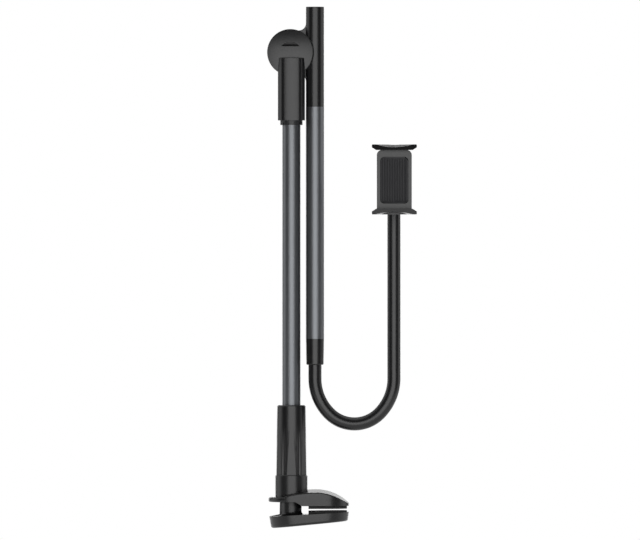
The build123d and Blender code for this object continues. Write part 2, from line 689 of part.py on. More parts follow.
def make_clip_body():
    """Front housing with the fixed lower jaw."""
    body = clip_plan(BODY_BOTTOM, BODY_TOP, BODY_FRONT, BODY_Y) + clip_jaw(LOW_GRIP, -1)
    floor = BODY_BOTTOM + JAW_T
    room = block(
        LEG_X - BODY_W / 2 + WALL, LEG_X + BODY_W / 2 - WALL, BODY_FRONT + WALL, BODY_Y, floor,
        BODY_TOP - WALL,
    )
    bosses = [pin(BOSS_R, BODY_FRONT, BODY_Y, x, z) for x, z in screw_spots()]
    for boss in bosses:
        room -= boss
    body -= room
    slot = block(
        LEG_X - TONGUE_W / 2 - SLIDE, LEG_X + TONGUE_W / 2 + SLIDE, TONGUE_Y - SLIDE,
        TONGUE_Y + TONGUE_T + SLIDE, BODY_TOP - WALL - 1, BODY_TOP + 1,
    )
    body -= slot
    for x, z in screw_spots():
        body -= pin(1.0 + PRESS, BODY_Y - 5, BODY_Y, x, z)
    return body


def make_clip_upper_jaw():
    """Sliding jaw with the tongue that runs in the housing."""
    low = TOP_GRIP + LINING
    body = clip_jaw(TOP_GRIP, 1)
    body += block(
        LEG_X - TONGUE_W / 2, LEG_X + TONGUE_W / 2, TONGUE_Y, TONGUE_Y + TONGUE_T,
        low - TONGUE_L, low + 1,
    )
    ear = low - TONGUE_L + 2
    body += block(
        LEG_X - CLIP_SPRING_X - CLIP_SPRING_R, LEG_X + CLIP_SPRING_X + CLIP_SPRING_R, TONGUE_Y,
        TONGUE_Y + TONGUE_T + 2, ear - 2, ear,
    )
    return body


def make_clip_pads():
    """Silicone linings of the upper jaw, the lower jaw and the back."""
    half = CLIP_W / 2 - EAR_SLANT - 0.5
    upper = block(LEG_X - half, LEG_X + half, LIP_Y, BODY_FRONT, TOP_GRIP, TOP_GRIP + LINING)
    lower = block(LEG_X - half, LEG_X + half, LIP_Y, BODY_FRONT, LOW_GRIP - LINING, LOW_GRIP)
    back = clip_plan(LOW_GRIP + 3, TOP_GRIP - 5, REST_Y, BODY_FRONT, 4.0, 5.0)
    return upper, lower, back


def make_clip_springs():
    """Two springs beside the tongue, drawn as plain sleeves."""
    top = BODY_TOP - WALL
    low = TOP_GRIP + LINING - TONGUE_L + 2
    y = TONGUE_Y + TONGUE_T / 2 + 1
    both = []
    for side in (-1, 1):
        x = LEG_X + side * CLIP_SPRING_X
        both.append(rod(CLIP_SPRING_R, low, top, x, y) - rod(CLIP_SPRING_R - 0.6, low, top, x, y))
    return Compound(both)


def make_clip_screws():
    """Four screws that join the two housings."""
    screws = []
    for x, z in screw_spots():
        head = pin(2.5, COVER_Y - 1.6, COVER_Y - 0.2, x, z)
        screws.append(head + pin(1.0, BODY_Y - 4.5, COVER_Y - 1.6, x, z))
    return Compound(screws)


upper_pad, lower_pad, back_pad = make_clip_pads()

nodes = {
    "upper_jaw": make_upper_jaw(),
    "upper_jaw_pad": make_upper_pad(),
    "lower_jaw": make_lower_jaw(),
    "lower_jaw_pad": make_lower_pad(),
    "post_nut": make_post_nut(),
    "clamp_screw": make_screw(),
    "grip": make_grip(),
    "grip_retaining_ring": make_ring(),
    "lower_tube": make_lower_tube(),
    "tube_plug": make_tube_plug(),
    "swivel_bush": make_bush(),
    "hinge_head": make_head(),
    "hinge_cap": make_cap(),
    "hinge_bolt": make_bolt(),
    "hinge_nut": make_nut(),
    "spring_washers": make_washers(),
    "friction_disc": make_friction_disc(),
    "arm_knuckle": make_knuckle(),
    "rear_cap": make_rear_cap(),
    "upper_tube": make_upper_tube(),
    "gooseneck_ferrule": make_ferrule(),
    "gooseneck_sleeve_lower": hose(lower_path(), NECK_R, CORE_R + PRESS),
    "gooseneck_sleeve_upper": hose(upper_path(), NECK_R, CORE_R + PRESS),
    "gooseneck_core_lower": hose(lower_path(), CORE_R),
    "gooseneck_core_upper": hose(upper_path(), CORE_R),
    "ball_stud": make_ball_stud(),
    "ball_nut": make_ball_nut(),
    "clip_body": make_clip_body(),
    "clip_back_cover": make_back_cover(),
    "clip_upper_jaw": make_clip_upper_jaw(),
    "clip_upper_pad": upper_pad,
    "clip_lower_pad": lower_pad,
    "clip_back_pad": back_pad,
    "clip_springs": make_clip_springs(),
    "clip_screws": make_clip_screws(),
}

os.makedirs("parts", exist_ok=True)
for name, shape in nodes.items():
    export_step(Pos(-PAD_X, 0, 0) * shape, f"parts/{name}.step")
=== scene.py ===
"""Looks of the clamp-on gooseneck holder.

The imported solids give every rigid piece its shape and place. This script gives them their
finishes, makes the bending neck, the coil springs and the housing screws, cuts grooves in the
pads and linings, flattens the front of the hinge sleeve, and sets up a white studio with the
camera in front of the column.
"""
import json
import math

import bmesh
import bpy
from mathutils import Matrix, Vector


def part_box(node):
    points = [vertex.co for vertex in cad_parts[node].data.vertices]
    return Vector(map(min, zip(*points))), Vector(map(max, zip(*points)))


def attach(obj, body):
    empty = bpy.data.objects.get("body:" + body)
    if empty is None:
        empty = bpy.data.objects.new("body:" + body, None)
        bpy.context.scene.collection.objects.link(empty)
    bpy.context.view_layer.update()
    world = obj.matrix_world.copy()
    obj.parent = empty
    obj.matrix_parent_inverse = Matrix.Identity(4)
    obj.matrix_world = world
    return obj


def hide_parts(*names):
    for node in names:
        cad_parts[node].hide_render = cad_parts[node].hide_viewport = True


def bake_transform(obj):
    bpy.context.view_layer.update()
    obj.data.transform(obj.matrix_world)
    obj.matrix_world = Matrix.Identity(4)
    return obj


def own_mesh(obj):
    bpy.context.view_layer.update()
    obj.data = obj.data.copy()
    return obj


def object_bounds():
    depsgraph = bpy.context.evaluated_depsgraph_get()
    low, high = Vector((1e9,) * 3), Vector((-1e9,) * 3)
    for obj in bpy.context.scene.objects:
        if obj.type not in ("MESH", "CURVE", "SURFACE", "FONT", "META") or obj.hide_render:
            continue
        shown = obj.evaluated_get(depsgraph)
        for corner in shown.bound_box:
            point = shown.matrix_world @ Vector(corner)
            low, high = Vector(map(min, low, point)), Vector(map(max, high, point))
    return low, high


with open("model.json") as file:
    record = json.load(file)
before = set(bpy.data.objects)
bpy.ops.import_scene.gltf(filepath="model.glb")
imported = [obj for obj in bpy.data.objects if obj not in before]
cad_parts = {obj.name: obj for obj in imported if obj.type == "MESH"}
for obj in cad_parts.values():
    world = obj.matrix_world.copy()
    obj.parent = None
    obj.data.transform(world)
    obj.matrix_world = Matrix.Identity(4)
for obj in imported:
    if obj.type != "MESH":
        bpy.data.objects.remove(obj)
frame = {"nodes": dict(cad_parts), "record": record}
cad_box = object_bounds()

MM = 0.001

# The photograph's frame; it is a level view from far away, so one scale holds all over it
PHOTO_WIDTH_PX = 640
PHOTO_HEIGHT_PX = 540
COLUMN_PX = 291.4
TABLE_PX = 508.5
MM_PER_PX = 1.21
CAMERA_DISTANCE = 14.0
SENSOR_MM = 36.0

# Sizes of the flexible neck that the frame's boxes don't give
SIDE_BEND_R = 60 * MM
SEAM_ABOVE_BEND = 20 * MM
TIP_BEND_R = 35 * MM
CORE_R = 4 * MM
CORE_FIT = 0.05 * MM
RING_SPACING = 1.5 * MM

# Small pieces of the clip; the slots' length is a share of the head's radius
SPRING_WIRE_R = 0.35 * MM
SPRING_COILS = 15
SCREW_HEAD_R = 2.5 * MM
SCREW_HEAD_H = 1.4 * MM
SCREW_SHANK_R = 1.0 * MM
SCREW_SLOT_W = 0.7 * MM
SCREW_SLOT_DEEP = 0.8 * MM
SCREW_SLOT_LENGTH = 1.3
SCREW_TURN = 0.4
SCREWS_FACE_BACK = (-math.pi / 2, SCREW_TURN, 0)

# Grooves of the jaw pads and of the clip's linings
PAD_PITCH = 4 * MM
PAD_GROOVE_R = 0.8 * MM
PAD_GROOVE_LIFT = 0.3 * MM
PAD_BORDER = 3 * MM
PAD_SLOPE = math.tan(math.radians(1.0))
LINING_PITCH = 3 * MM
LINING_GROOVE_R = 0.6 * MM
LINING_GROOVE_LIFT = 0.25 * MM
LINING_BORDER = 2 * MM
GROOVES_CROSSWISE = (math.pi / 2, 0, 0)
GROOVES_UPRIGHT = (0, 0, 0)
PAST_EVERY_PAD = 1.0

# Section of the hinge sleeve: a broad, slightly curved front between slanting flanks.
# Each bend is a radius and an angle in degrees.
SLEEVE_FRONT_IN = 1.1 * MM
SLEEVE_FRONT_BEND = (34 * MM, 14.7)
SLEEVE_CORNER_BEND = (8.5 * MM, 35.3)
SLEEVE_SIDE_BEND = (3.2 * MM, 40.0)
SLEEVE_TOP_BELOW_HINGE = 7 * MM
SLEEVE_INNER_R = 14.4 * MM
SLEEVE_OVERLAP = 0.2 * MM
SLEEVE_BACK_Y = -0.6 * MM
DISC_FACE_Y = -5.85 * MM
HAIR = 0.02 * MM

# How finely the pieces are drawn
PATH_STEPS = 48
HOSE_SIDES = 40
COIL_STEPS = 24
WIRE_SIDES = 10
SCREW_HEAD_SIDES = 48
SCREW_SHANK_SIDES = 24
GROOVE_SIDES = 16
BEND_STEPS = 10
WALL_STEPS = 40
MERGE_DISTANCE = 0.001 * MM
SHARP_EDGE = math.radians(40)
SLEEVE_SHARP_EDGE = math.radians(30)

# The floor lies below the clamp's jaw when that is screwed fully down, and fades toward its rim
JAW_TRAVEL = 50 * MM
FLOOR_GAP = 2 * MM
FLOOR_R = 0.85
FLOOR_SIDES = 96
FADE_FROM = 0.20
FADE_RIM = 0.05
FADE_LEAST = 0.5

# White sweep that shows in reflections: its soft edges, from the front (-1) to the back (1),
# how bright it stays past them, and the brightness of the room that lights the object
SWEEP_FRONT_EDGE = (-0.26, -0.06)
SWEEP_REAR_EDGE = (0.40, 0.70)
SWEEP_FRONT_REST = 0.02
SWEEP_REAR_REST = 0.15
ROOM_STRENGTH = 0.42

# Softboxes: azimuth and elevation in degrees, distance, width and height in metres, radiance
SOFTBOXES = {
    "front softbox": (2, -5, 2.4, 2.7, 2.0, 2.5),
    "rear softbox": (182, -5, 2.4, 2.7, 2.0, 2.0),
    "overhead": (0, 80, 1.9, 1.4, 1.4, 0.35),
}


def linear(hex_colour):
    """sRGB hex colour as linear red, green, blue and alpha."""
    parts = [int(hex_colour[i:i + 2], 16) / 255 for i in (1, 3, 5)]
    return [c / 12.92 if c <= 0.04045 else ((c + 0.055) / 1.055) ** 2.4 for c in parts] + [1.0]


def add(tree, kind, inputs=None, **settings):
    """Adds a node with its settings; each input is a value, or an output socket to link."""
    node = tree.nodes.new(kind)
    for name, value in settings.items():
        setattr(node, name, value)
    for name, value in (inputs or {}).items():
        if isinstance(value, bpy.types.NodeSocket):
            tree.links.new(value, node.inputs[name])
        else:
            node.inputs[name].default_value = value
    return node


def reckon(tree, operation, *values):
    """Result of a sum with one or two values."""
    return add(tree, "ShaderNodeMath", dict(enumerate(values)), operation=operation).outputs["Value"]


def placed(name, data):
    """New object in the scene, at the origin."""
    thing = bpy.data.objects.new(name, data)
    bpy.context.scene.collection.objects.link(thing)
    return thing


def evaluated_mesh(thing):
    """What an object and its modifiers come to, as a plain mesh."""
    graph = bpy.context.evaluated_depsgraph_get()
    return bpy.data.meshes.new_from_object(thing.evaluated_get(graph))


# Finishes


def finish_base(name, **constants):
    """New material with a Principled shader; returns it with its tree, shader and coordinates."""
    material = bpy.data.materials.new(name)
    material.use_nodes = True
    tree = material.node_tree
    shader = tree.nodes["Principled BSDF"]
    for socket, value in constants.items():
        shader.inputs[socket].default_value = value
    place = add(tree, "ShaderNodeTexCoord").outputs["Object"]
    return material, tree, shader, place


def lumps(tree, place, size, detail):
    """Noise with lumps of a given size."""
    noise = add(tree, "ShaderNodeTexNoise", {"Vector": place, "Scale": 1 / size, "Detail": detail})
    return noise.outputs["Fac"]


def two_tone(tree, share, first, second):
    """Colour that goes from the first to the second."""
    mix = add(tree, "ShaderNodeMix", {"Factor": share, "A": first, "B": second}, data_type="RGBA")
    return mix.outputs["Result"]


def between(tree, share, low, high):
    """Value that goes from low to high."""
    scale = add(tree, "ShaderNodeMapRange", {"Value": share, "To Min": low, "To Max": high})
    return scale.outputs["Result"]


def relief(tree, height, strength, depth, **normal):
    """Normal of a fine relief, on top of another normal where one is given."""
    bump = add(
        tree, "ShaderNodeBump", {"Height": height, "Strength": strength, "Distance": depth, **normal}
    )
    return bump.outputs["Normal"]


def dress(tree, shader, colour, gloss, normal=None):
    """Links a finish to its shader."""
    tree.links.new(colour, shader.inputs["Base Color"])
    tree.links.new(gloss, shader.inputs["Roughness"])
    if normal is not None:
        tree.links.new(normal, shader.inputs["Normal"])


def moulded_abs():
    """Black ABS from a spark-eroded mould: satin, finely grained, a little lighter where it is rubbed."""
    material, tree, shader, place = finish_base("moulded ABS, satin black", IOR=1.53)
    cloud = lumps(tree, place, size=22 * MM, detail=3.0)
    # The mould's grain is near 0.2 mm; it is drawn at 0.9 mm so that it shows
    grain = lumps(tree, place, size=0.9 * MM, detail=2.0)
    round_edge = add(tree, "ShaderNodeBevel", {"Radius": 0.5 * MM}, samples=4).outputs["Normal"]
    true_edge = add(tree, "ShaderNodeNewGeometry").outputs["Normal"]
    flatness = add(tree, "ShaderNodeVectorMath", {0: round_edge, 1: true_edge}, operation="DOT_PRODUCT")
    rubbed = add(
        tree, "ShaderNodeMapRange",
        {"Value": flatness.outputs["Value"], "From Min": 0.99, "From Max": 0.85},
    )
    shade = two_tone(tree, cloud, linear("#0f0f10"), linear("#141415"))
    colour = two_tone(tree, rubbed.outputs["Result"], shade, linear("#242527"))
    gloss = between(tree, grain, 0.26, 0.36)
    dress(tree, shader, colour, gloss, relief(tree, grain, 0.12, 0.1 * MM, Normal=round_edge))
    return material


def anodised_aluminium():
    """Extruded, bead-blasted tube anodised space grey: soft metal gloss with faint lengthwise die lines."""
    material, tree, shader, place = finish_base("anodised aluminium, space grey", Metallic=1.0)
    lengthwise = add(tree, "ShaderNodeMapping", {"Vector": place, "Scale": (1.0, 1.0, 0.012)})
    # Die lines and blasting are near 0.1 mm; they are drawn at 0.8 and 0.7 mm so that they show
    lines = lumps(tree, lengthwise.outputs["Vector"], size=0.8 * MM, detail=3.0)
    blast = lumps(tree, place, size=0.7 * MM, detail=2.0)
    colour = two_tone(tree, lines, linear("#717376"), linear("#7e8083"))
    gloss = between(tree, lines, 0.38, 0.50)
    dress(tree, shader, colour, gloss, relief(tree, blast, 0.08, 0.05 * MM))
    return material


def neck_rubber():
    """Extruded thermoplastic rubber sleeve: smooth satin black with a faintly cloudy bloom."""
    material, tree, shader, place = finish_base("thermoplastic rubber sleeve", IOR=1.5)
    bloom = lumps(tree, place, size=14 * MM, detail=4.0)
    skin = lumps(tree, place, size=1.2 * MM, detail=2.0)
    colour = two_tone(tree, bloom, linear("#131314"), linear("#1c1c1d"))
    gloss = between(tree, bloom, 0.24, 0.33)
    dress(tree, shader, colour, gloss, relief(tree, skin, 0.10, 0.1 * MM))
    return material


def moulded_rubber(name, dark, pale, roughness):
    """Compression-moulded soft rubber: matte, finely pebbled, with a powdery bloom."""
    material, tree, shader, place = finish_base(name, IOR=1.45)
    bloom = lumps(tree, place, size=6 * MM, detail=4.0)
    # The mould's pebbling is near 0.2 mm; it is drawn at 0.8 mm so that it shows
    pebble = lumps(tree, place, size=0.8 * MM, detail=2.0)
    colour = two_tone(tree, bloom, linear(dark), linear(pale))
    gloss = between(tree, bloom, roughness - 0.08, roughness + 0.08)
    dress(tree, shader, colour, gloss, relief(tree, pebble, 0.2, 0.1 * MM))
    return material


def turned_metal(name, dark, pale, roughness):
    """Turned or drawn metal: bright with fine tool marks and a slightly uneven surface."""
    material, tree, shader, place = finish_base(name, Metallic=1.0)
    # Tool marks are near 0.05 mm apart; they are drawn at 0.5 mm so that they show
    marks = lumps(tree, place, size=0.5 * MM, detail=3.0)
    colour = two_tone(tree, marks, linear(dark), linear(pale))
    gloss = between(tree, marks, roughness - 0.06, roughness + 0.08)
    dress(tree, shader, colour, gloss, relief(tree, marks, 0.06, 0.03 * MM))
    return material


def black_nylon():
    """Moulded nylon for bearings: slightly waxy black with fine flow marks."""
    material, tree, shader, place = finish_base("moulded nylon, black", IOR=1.53)
    flow = lumps(tree, place, size=3 * MM, detail=4.0)
    colour = two_tone(tree, flow, linear("#161617"), linear("#212123"))
    dress(tree, shader, colour, between(tree, flow, 0.36, 0.50))
    return material


FINISH = {
    "black_abs": moulded_abs(),
    "anodised_tube": anodised_aluminium(),
    "neck_rubber": neck_rubber(),
    "pad_rubber": moulded_rubber("nitrile rubber pad", "#121213", "#1b1b1c", 0.72),
    "silicone": moulded_rubber("silicone lining", "#19191b", "#232326", 0.58),
    "core_wire": turned_metal("drawn aluminium wire", "#b4b6b8", "#c6c8ca", 0.34),
    "steel": turned_metal("zinc-plated steel", "#9a9ea3", "#b4b8bd", 0.36),
    "brass": turned_metal("turned brass", "#b08d4a", "#c9a765", 0.30),
    "nylon": black_nylon(),
}

for part in frame["record"]["subparts"]:
    frame["nodes"][part["node"]].material_slots[0].material = FINISH[part["material_slot"]]


# Neck


def arc_path(name, start, heading, side, steps):
    """Bezier curve of straight runs (a length) and arcs (a radius and an angle) turning to one side."""
    point, ahead, across = Vector(start), Vector(heading), Vector(side)
    knots = [[point.copy(), ahead.copy(), 0.0, 0.0]]
    for step in steps:
        if isinstance(step, tuple):
            radius, angle = step[0], math.radians(step[1])
            handle = radius * 4 / 3 * math.tan(angle / 4)
            point = point + ahead * radius * math.sin(angle) + across * radius * (1 - math.cos(angle))
            turned = ahead * math.cos(angle) + across * math.sin(angle)
            across = across * math.cos(angle) - ahead * math.sin(angle)
            ahead = turned
        else:
            handle = step / 3
            point = point + ahead * step
        knots[-1][3] = handle
        knots.append([point.copy(), ahead.copy(), handle, 0.0])
    curve = bpy.data.curves.new(name, "CURVE")
    curve.dimensions = "3D"
    curve.resolution_u = PATH_STEPS
    spline = curve.splines.new("BEZIER")
    spline.bezier_points.add(len(knots) - 1)
    for knot, (spot, along, before, after) in zip(spline.bezier_points, knots):
        knot.co = spot
        knot.handle_left = spot - along * before
        knot.handle_right = spot + along * after
    return curve


def node_tree(name, sockets):
    """Empty geometry tree with named inputs; returns it with the outputs of its input node."""
    tree = bpy.data.node_groups.new(name, "GeometryNodeTree")
    tree.interface.new_socket("Geometry", in_out="INPUT", socket_type="NodeSocketGeometry")
    for socket, kind in sockets:
        tree.interface.new_socket(socket, in_out="INPUT", socket_type="NodeSocket" + kind)
    tree.interface.new_socket("Geometry", in_out="OUTPUT", socket_type="NodeSocketGeometry")
    return tree, add(tree, "NodeGroupInput").outputs


def close_tree(tree, geometry, material):
    """Ends a tree in smooth, realized geometry with its material."""
    smooth = add(tree, "GeometryNodeSetShadeSmooth", {"Geometry": geometry})
    real = add(tree, "GeometryNodeRealizeInstances", {"Geometry": smooth.outputs["Geometry"]})
    paint = add(
        tree, "GeometryNodeSetMaterial", {"Geometry": real.outputs["Geometry"], "Material": material}
    )
    add(tree, "NodeGroupOutput", {"Geometry": paint.outputs["Geometry"]})


def hose_tree():
    """Round hose along a curve, with evenly spaced rings so that it bends smoothly."""
    tree, given = node_tree(
        "hose along a path",
        [("Radius", "Float"), ("Spacing", "Float"), ("Capped", "Bool"), ("Finish", "Material")],
    )
    ring = add(
        tree, "GeometryNodeCurvePrimitiveCircle", {"Resolution": HOSE_SIDES, "Radius": given["Radius"]}
    )
    even = add(
        tree, "GeometryNodeResampleCurve", {"Curve": given["Geometry"], "Length": given["Spacing"]},
        mode="LENGTH",
    )
    hose = add(
        tree, "GeometryNodeCurveToMesh",
        {"Curve": even.outputs["Curve"], "Profile Curve": ring.outputs["Curve"],
         "Fill Caps": given["Capped"]},
    )
    close_tree(tree, hose.outputs["Mesh"], given["Finish"])
    return tree


def grown(name, data, tree, values, wall=0.0):
    """Runs a geometry tree on some data and returns the result as a plain mesh object."""
    source = placed(name + "_source", data)
    modifier = source.modifiers.new("grown", "NODES")
    modifier.node_group = tree
    for item in tree.interface.items_tree:
        if item.in_out == "INPUT" and item.name in values:
            modifier[item.identifier] = values[item.name]
    mesh = evaluated_mesh(source)
    bpy.data.objects.remove(source)
    piece = placed(name, mesh)
    if wall:
        thick = piece.modifiers.new("wall", "SOLIDIFY")
        thick.thickness = wall
        thick.offset = -1.0
        piece.data = evaluated_mesh(piece)
        piece.modifiers.clear()
    piece.data.set_sharp_from_angle(angle=SHARP_EDGE)
    return piece


lower_low, lower_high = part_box("gooseneck_sleeve_lower")
upper_low, upper_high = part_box("gooseneck_sleeve_upper")
NECK_R = (lower_high.y - lower_low.y) / 2
NEAR_LEG_X = lower_low.x + NECK_R
FAR_LEG_X = lower_high.x - NECK_R
NECK_TOP_Z = lower_high.z
SEAM_Z = upper_low.z
TIP_Z = upper_high.z - NECK_R
BEND_Z = SEAM_Z - SEAM_ABOVE_BEND
HALF_SPAN = (FAR_LEG_X - NEAR_LEG_X) / 2
EIGHTH = math.cos(math.radians(45))
FOOT_BEND_R = (HALF_SPAN - SIDE_BEND_R * (1 - EIGHTH)) / EIGHTH

lower_route = arc_path(
    "lower_route", (NEAR_LEG_X, 0, NECK_TOP_Z), (0, 0, -1), (1, 0, 0),
    [NECK_TOP_Z - BEND_Z, (SIDE_BEND_R, 45), (FOOT_BEND_R, 90), (SIDE_BEND_R, 45), SEAM_ABOVE_BEND],
)
upper_route = arc_path(
    "upper_route", (FAR_LEG_X, 0, SEAM_Z), (0, 0, 1), (0, -1, 0),
    [TIP_Z - TIP_BEND_R - SEAM_Z, (TIP_BEND_R, 90), -upper_low.y - TIP_BEND_R],
)

hose = hose_tree()
neck_pieces = [
    ("neck_sleeve_lower", lower_route, NECK_R, NECK_R - CORE_R, "gooseneck_sleeve_lower", "neck_rubber"),
    ("neck_sleeve_upper", upper_route, NECK_R, NECK_R - CORE_R, "gooseneck_sleeve_upper", "neck_rubber"),
    ("neck_core_lower", lower_route, CORE_R - CORE_FIT, 0.0, "gooseneck_core_lower", "core_wire"),
    ("neck_core_upper", upper_route, CORE_R - CORE_FIT, 0.0, "gooseneck_core_upper", "core_wire"),
]
for name, route, radius, wall, node, slot in neck_pieces:
    sizes = {"Radius": radius, "Spacing": RING_SPACING, "Capped": not wall, "Finish": FINISH[slot]}
    piece = grown(name, route, hose, sizes, wall)
    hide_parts(node)
    if node.endswith("lower"):
        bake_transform(piece)
    else:
        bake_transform(piece)


# Clip springs and housing screws


def spring_tree():
    """A pair of coil springs, side by side on the points of a short line."""
    tree, given = node_tree(
        "pair of coil springs",
        [("Coil Radius", "Float"), ("Wire Radius", "Float"), ("Height", "Float"), ("Coils", "Float"),
         ("Spread", "Vector"), ("Finish", "Material")],
    )
    coil = add(
        tree, "GeometryNodeCurveSpiral",
        {"Resolution": COIL_STEPS, "Rotations": given["Coils"], "Start Radius": given["Coil Radius"],
         "End Radius": given["Coil Radius"], "Height": given["Height"]},
    )
    wire = add(
        tree, "GeometryNodeCurvePrimitiveCircle",
        {"Resolution": WIRE_SIDES, "Radius": given["Wire Radius"]},
    )
    spring = add(
        tree, "GeometryNodeCurveToMesh",
        {"Curve": coil.outputs["Curve"], "Profile Curve": wire.outputs["Curve"], "Fill Caps": True},
    )
    spots = add(tree, "GeometryNodeMeshLine", {"Count": 2, "Offset": given["Spread"]})
    pair = add(
        tree, "GeometryNodeInstanceOnPoints",
        {"Points": spots.outputs["Mesh"], "Instance": spring.outputs["Mesh"]},
    )
    close_tree(tree, pair.outputs["Instances"], given["Finish"])
    return tree


def screw_tree():
    """Cross-recess screws that face the back, one on each point of the given mesh."""
    tree, given = node_tree(
        "housing screws",
        [("Head Radius", "Float"), ("Head Height", "Float"), ("Shank Radius", "Float"),
         ("Shank Length", "Float"), ("Slot Width", "Float"), ("Slot Depth", "Float"),
         ("Finish", "Material")],
    )
    head = add(
        tree, "GeometryNodeMeshCylinder",
        {"Vertices": SCREW_HEAD_SIDES, "Radius": given["Head Radius"], "Depth": given["Head Height"]},
    )
    top = reckon(tree, "MULTIPLY", given["Head Height"], 0.5)
    bar_height = reckon(tree, "MULTIPLY", given["Slot Depth"], 2.0)
    length = reckon(tree, "MULTIPLY", given["Head Radius"], SCREW_SLOT_LENGTH)
    at_top = add(tree, "ShaderNodeCombineXYZ", {"Z": top}).outputs["Vector"]
    shape = head.outputs["Mesh"]
    for across, along in (("X", "Y"), ("Y", "X")):
        size = add(
            tree, "ShaderNodeCombineXYZ", {across: given["Slot Width"], along: length, "Z": bar_height}
        )
        bar = add(tree, "GeometryNodeMeshCube", {"Size": size.outputs["Vector"]})
        raised = add(
            tree, "GeometryNodeTransform", {"Geometry": bar.outputs["Mesh"], "Translation": at_top}
        )
        cut = add(
            tree, "GeometryNodeMeshBoolean", {"Mesh 1": shape, "Mesh 2": raised.outputs["Geometry"]},
            solver="MANIFOLD",
        )
        shape = cut.outputs["Mesh"]
    shank = add(
        tree, "GeometryNodeMeshCylinder",
        {"Vertices": SCREW_SHANK_SIDES, "Radius": given["Shank Radius"], "Depth": given["Shank Length"]},
    )
    down = reckon(tree, "MULTIPLY", given["Shank Length"], -0.5)
    below = add(tree, "ShaderNodeCombineXYZ", {"Z": down}).outputs["Vector"]
    shank_low = add(
        tree, "GeometryNodeTransform", {"Geometry": shank.outputs["Mesh"], "Translation": below}
    )
    whole = add(tree, "GeometryNodeJoinGeometry")
    tree.links.new(shape, whole.inputs["Geometry"])
    tree.links.new(shank_low.outputs["Geometry"], whole.inputs["Geometry"])
    screws = add(
        tree, "GeometryNodeInstanceOnPoints",
        {"Points": given["Geometry"], "Instance": whole.outputs["Geometry"],
         "Rotation": SCREWS_FACE_BACK},
    )
    close_tree(tree, screws.outputs["Instances"], given["Finish"])
    return tree


spring_low, spring_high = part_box("clip_springs")
SPRING_R = (spring_high.y - spring_low.y) / 2
spring_start = bpy.data.meshes.new("spring_start")
spring_start.from_pydata([(0, 0, 0)], [], [])
springs = grown(
    "clip_coil_springs", spring_start, spring_tree(),
    {"Coil Radius": SPRING_R - SPRING_WIRE_R, "Wire Radius": SPRING_WIRE_R,
     "Height": spring_high.z - spring_low.z - 2 * SPRING_WIRE_R, "Coils": SPRING_COILS,
     "Spread": (spring_high.x - spring_low.x - 2 * SPRING_R, 0, 0), "Finish": FINISH["steel"]},
)
springs.data.transform(
    Matrix.Translation((spring_low.x + SPRING_R, spring_low.y + SPRING_R, spring_low.z + SPRING_WIRE_R))
)
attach(springs, "clip")
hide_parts("clip_springs")
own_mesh(springs)

screw_low, screw_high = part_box("clip_screws")
screw_places = bpy.data.meshes.new("screw_places")
screw_places.from_pydata(
    [(x, screw_high.y - SCREW_HEAD_H / 2, z)
     for x in (screw_low.x + SCREW_HEAD_R, screw_high.x - SCREW_HEAD_R)
     for z in (screw_low.z + SCREW_HEAD_R, screw_high.z - SCREW_HEAD_R)],
    [], [],
)
screws = grown(
    "clip_cross_screws", screw_places, screw_tree(),
    {"Head Radius": SCREW_HEAD_R, "Head Height": SCREW_HEAD_H, "Shank Radius": SCREW_SHANK_R,
     "Shank Length": screw_high.y - screw_low.y - SCREW_HEAD_H / 2, "Slot Width": SCREW_SLOT_W,
     "Slot Depth": SCREW_SLOT_DEEP, "Finish": FINISH["steel"]},
)
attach(screws, "clip")
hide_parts("clip_screws")


# Grooved pads and linings


def merged_copy(node):
    """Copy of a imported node's mesh with its loose triangles joined."""
    mesh = frame["nodes"][node].data.copy()
    shape = bmesh.new()
    shape.from_mesh(mesh)
    bmesh.ops.remove_doubles(shape, verts=shape.verts, dist=MERGE_DISTANCE)
    shape.to_mesh(mesh)
    shape.free()
    return mesh


def groove_tree():
    """Pad with a row of round-bottomed grooves, which shorten from a given X on, where its end is round."""
    tree, given = node_tree(
        "grooved pad",
        [("Count", "Int"), ("Start", "Vector"), ("Step", "Vector"), ("Turn", "Vector"), ("Reach", "Float"),
         ("Round From", "Float"), ("Groove Radius", "Float"), ("Finish", "Material")],
    )
    row = add(
        tree, "GeometryNodeMeshLine",
        {"Count": given["Count"], "Start Location": given["Start"], "Offset": given["Step"]},
    )
    spot = add(tree, "GeometryNodeInputPosition").outputs["Position"]
    along = add(tree, "ShaderNodeSeparateXYZ", {"Vector": spot}).outputs["X"]
    past = reckon(tree, "SUBTRACT", along, given["Round From"])
    past = reckon(tree, "POWER", reckon(tree, "MAXIMUM", past, 0.0), 2.0)
    reach = reckon(tree, "SUBTRACT", reckon(tree, "POWER", given["Reach"], 2.0), past)
    # The cutter reaches 1 m to each side before it is scaled
    size = add(tree, "ShaderNodeCombineXYZ", {"X": 1.0, "Y": 1.0, "Z": reckon(tree, "SQRT", reach)})
    cutter = add(
        tree, "GeometryNodeMeshCylinder",
        {"Vertices": GROOVE_SIDES, "Radius": given["Groove Radius"], "Depth": 2.0},
    )
    cutters = add(
        tree, "GeometryNodeInstanceOnPoints",
        {"Points": row.outputs["Mesh"], "Instance": cutter.outputs["Mesh"], "Rotation": given["Turn"],
         "Scale": size.outputs["Vector"]},
    )
    real = add(tree, "GeometryNodeRealizeInstances", {"Geometry": cutters.outputs["Instances"]})
    cut = add(
        tree, "GeometryNodeMeshBoolean", {"Mesh 1": given["Geometry"], "Mesh 2": real.outputs["Geometry"]},
        solver="MANIFOLD",
    )
    close_tree(tree, cut.outputs["Mesh"], given["Finish"])
    return tree


grooves = groove_tree()


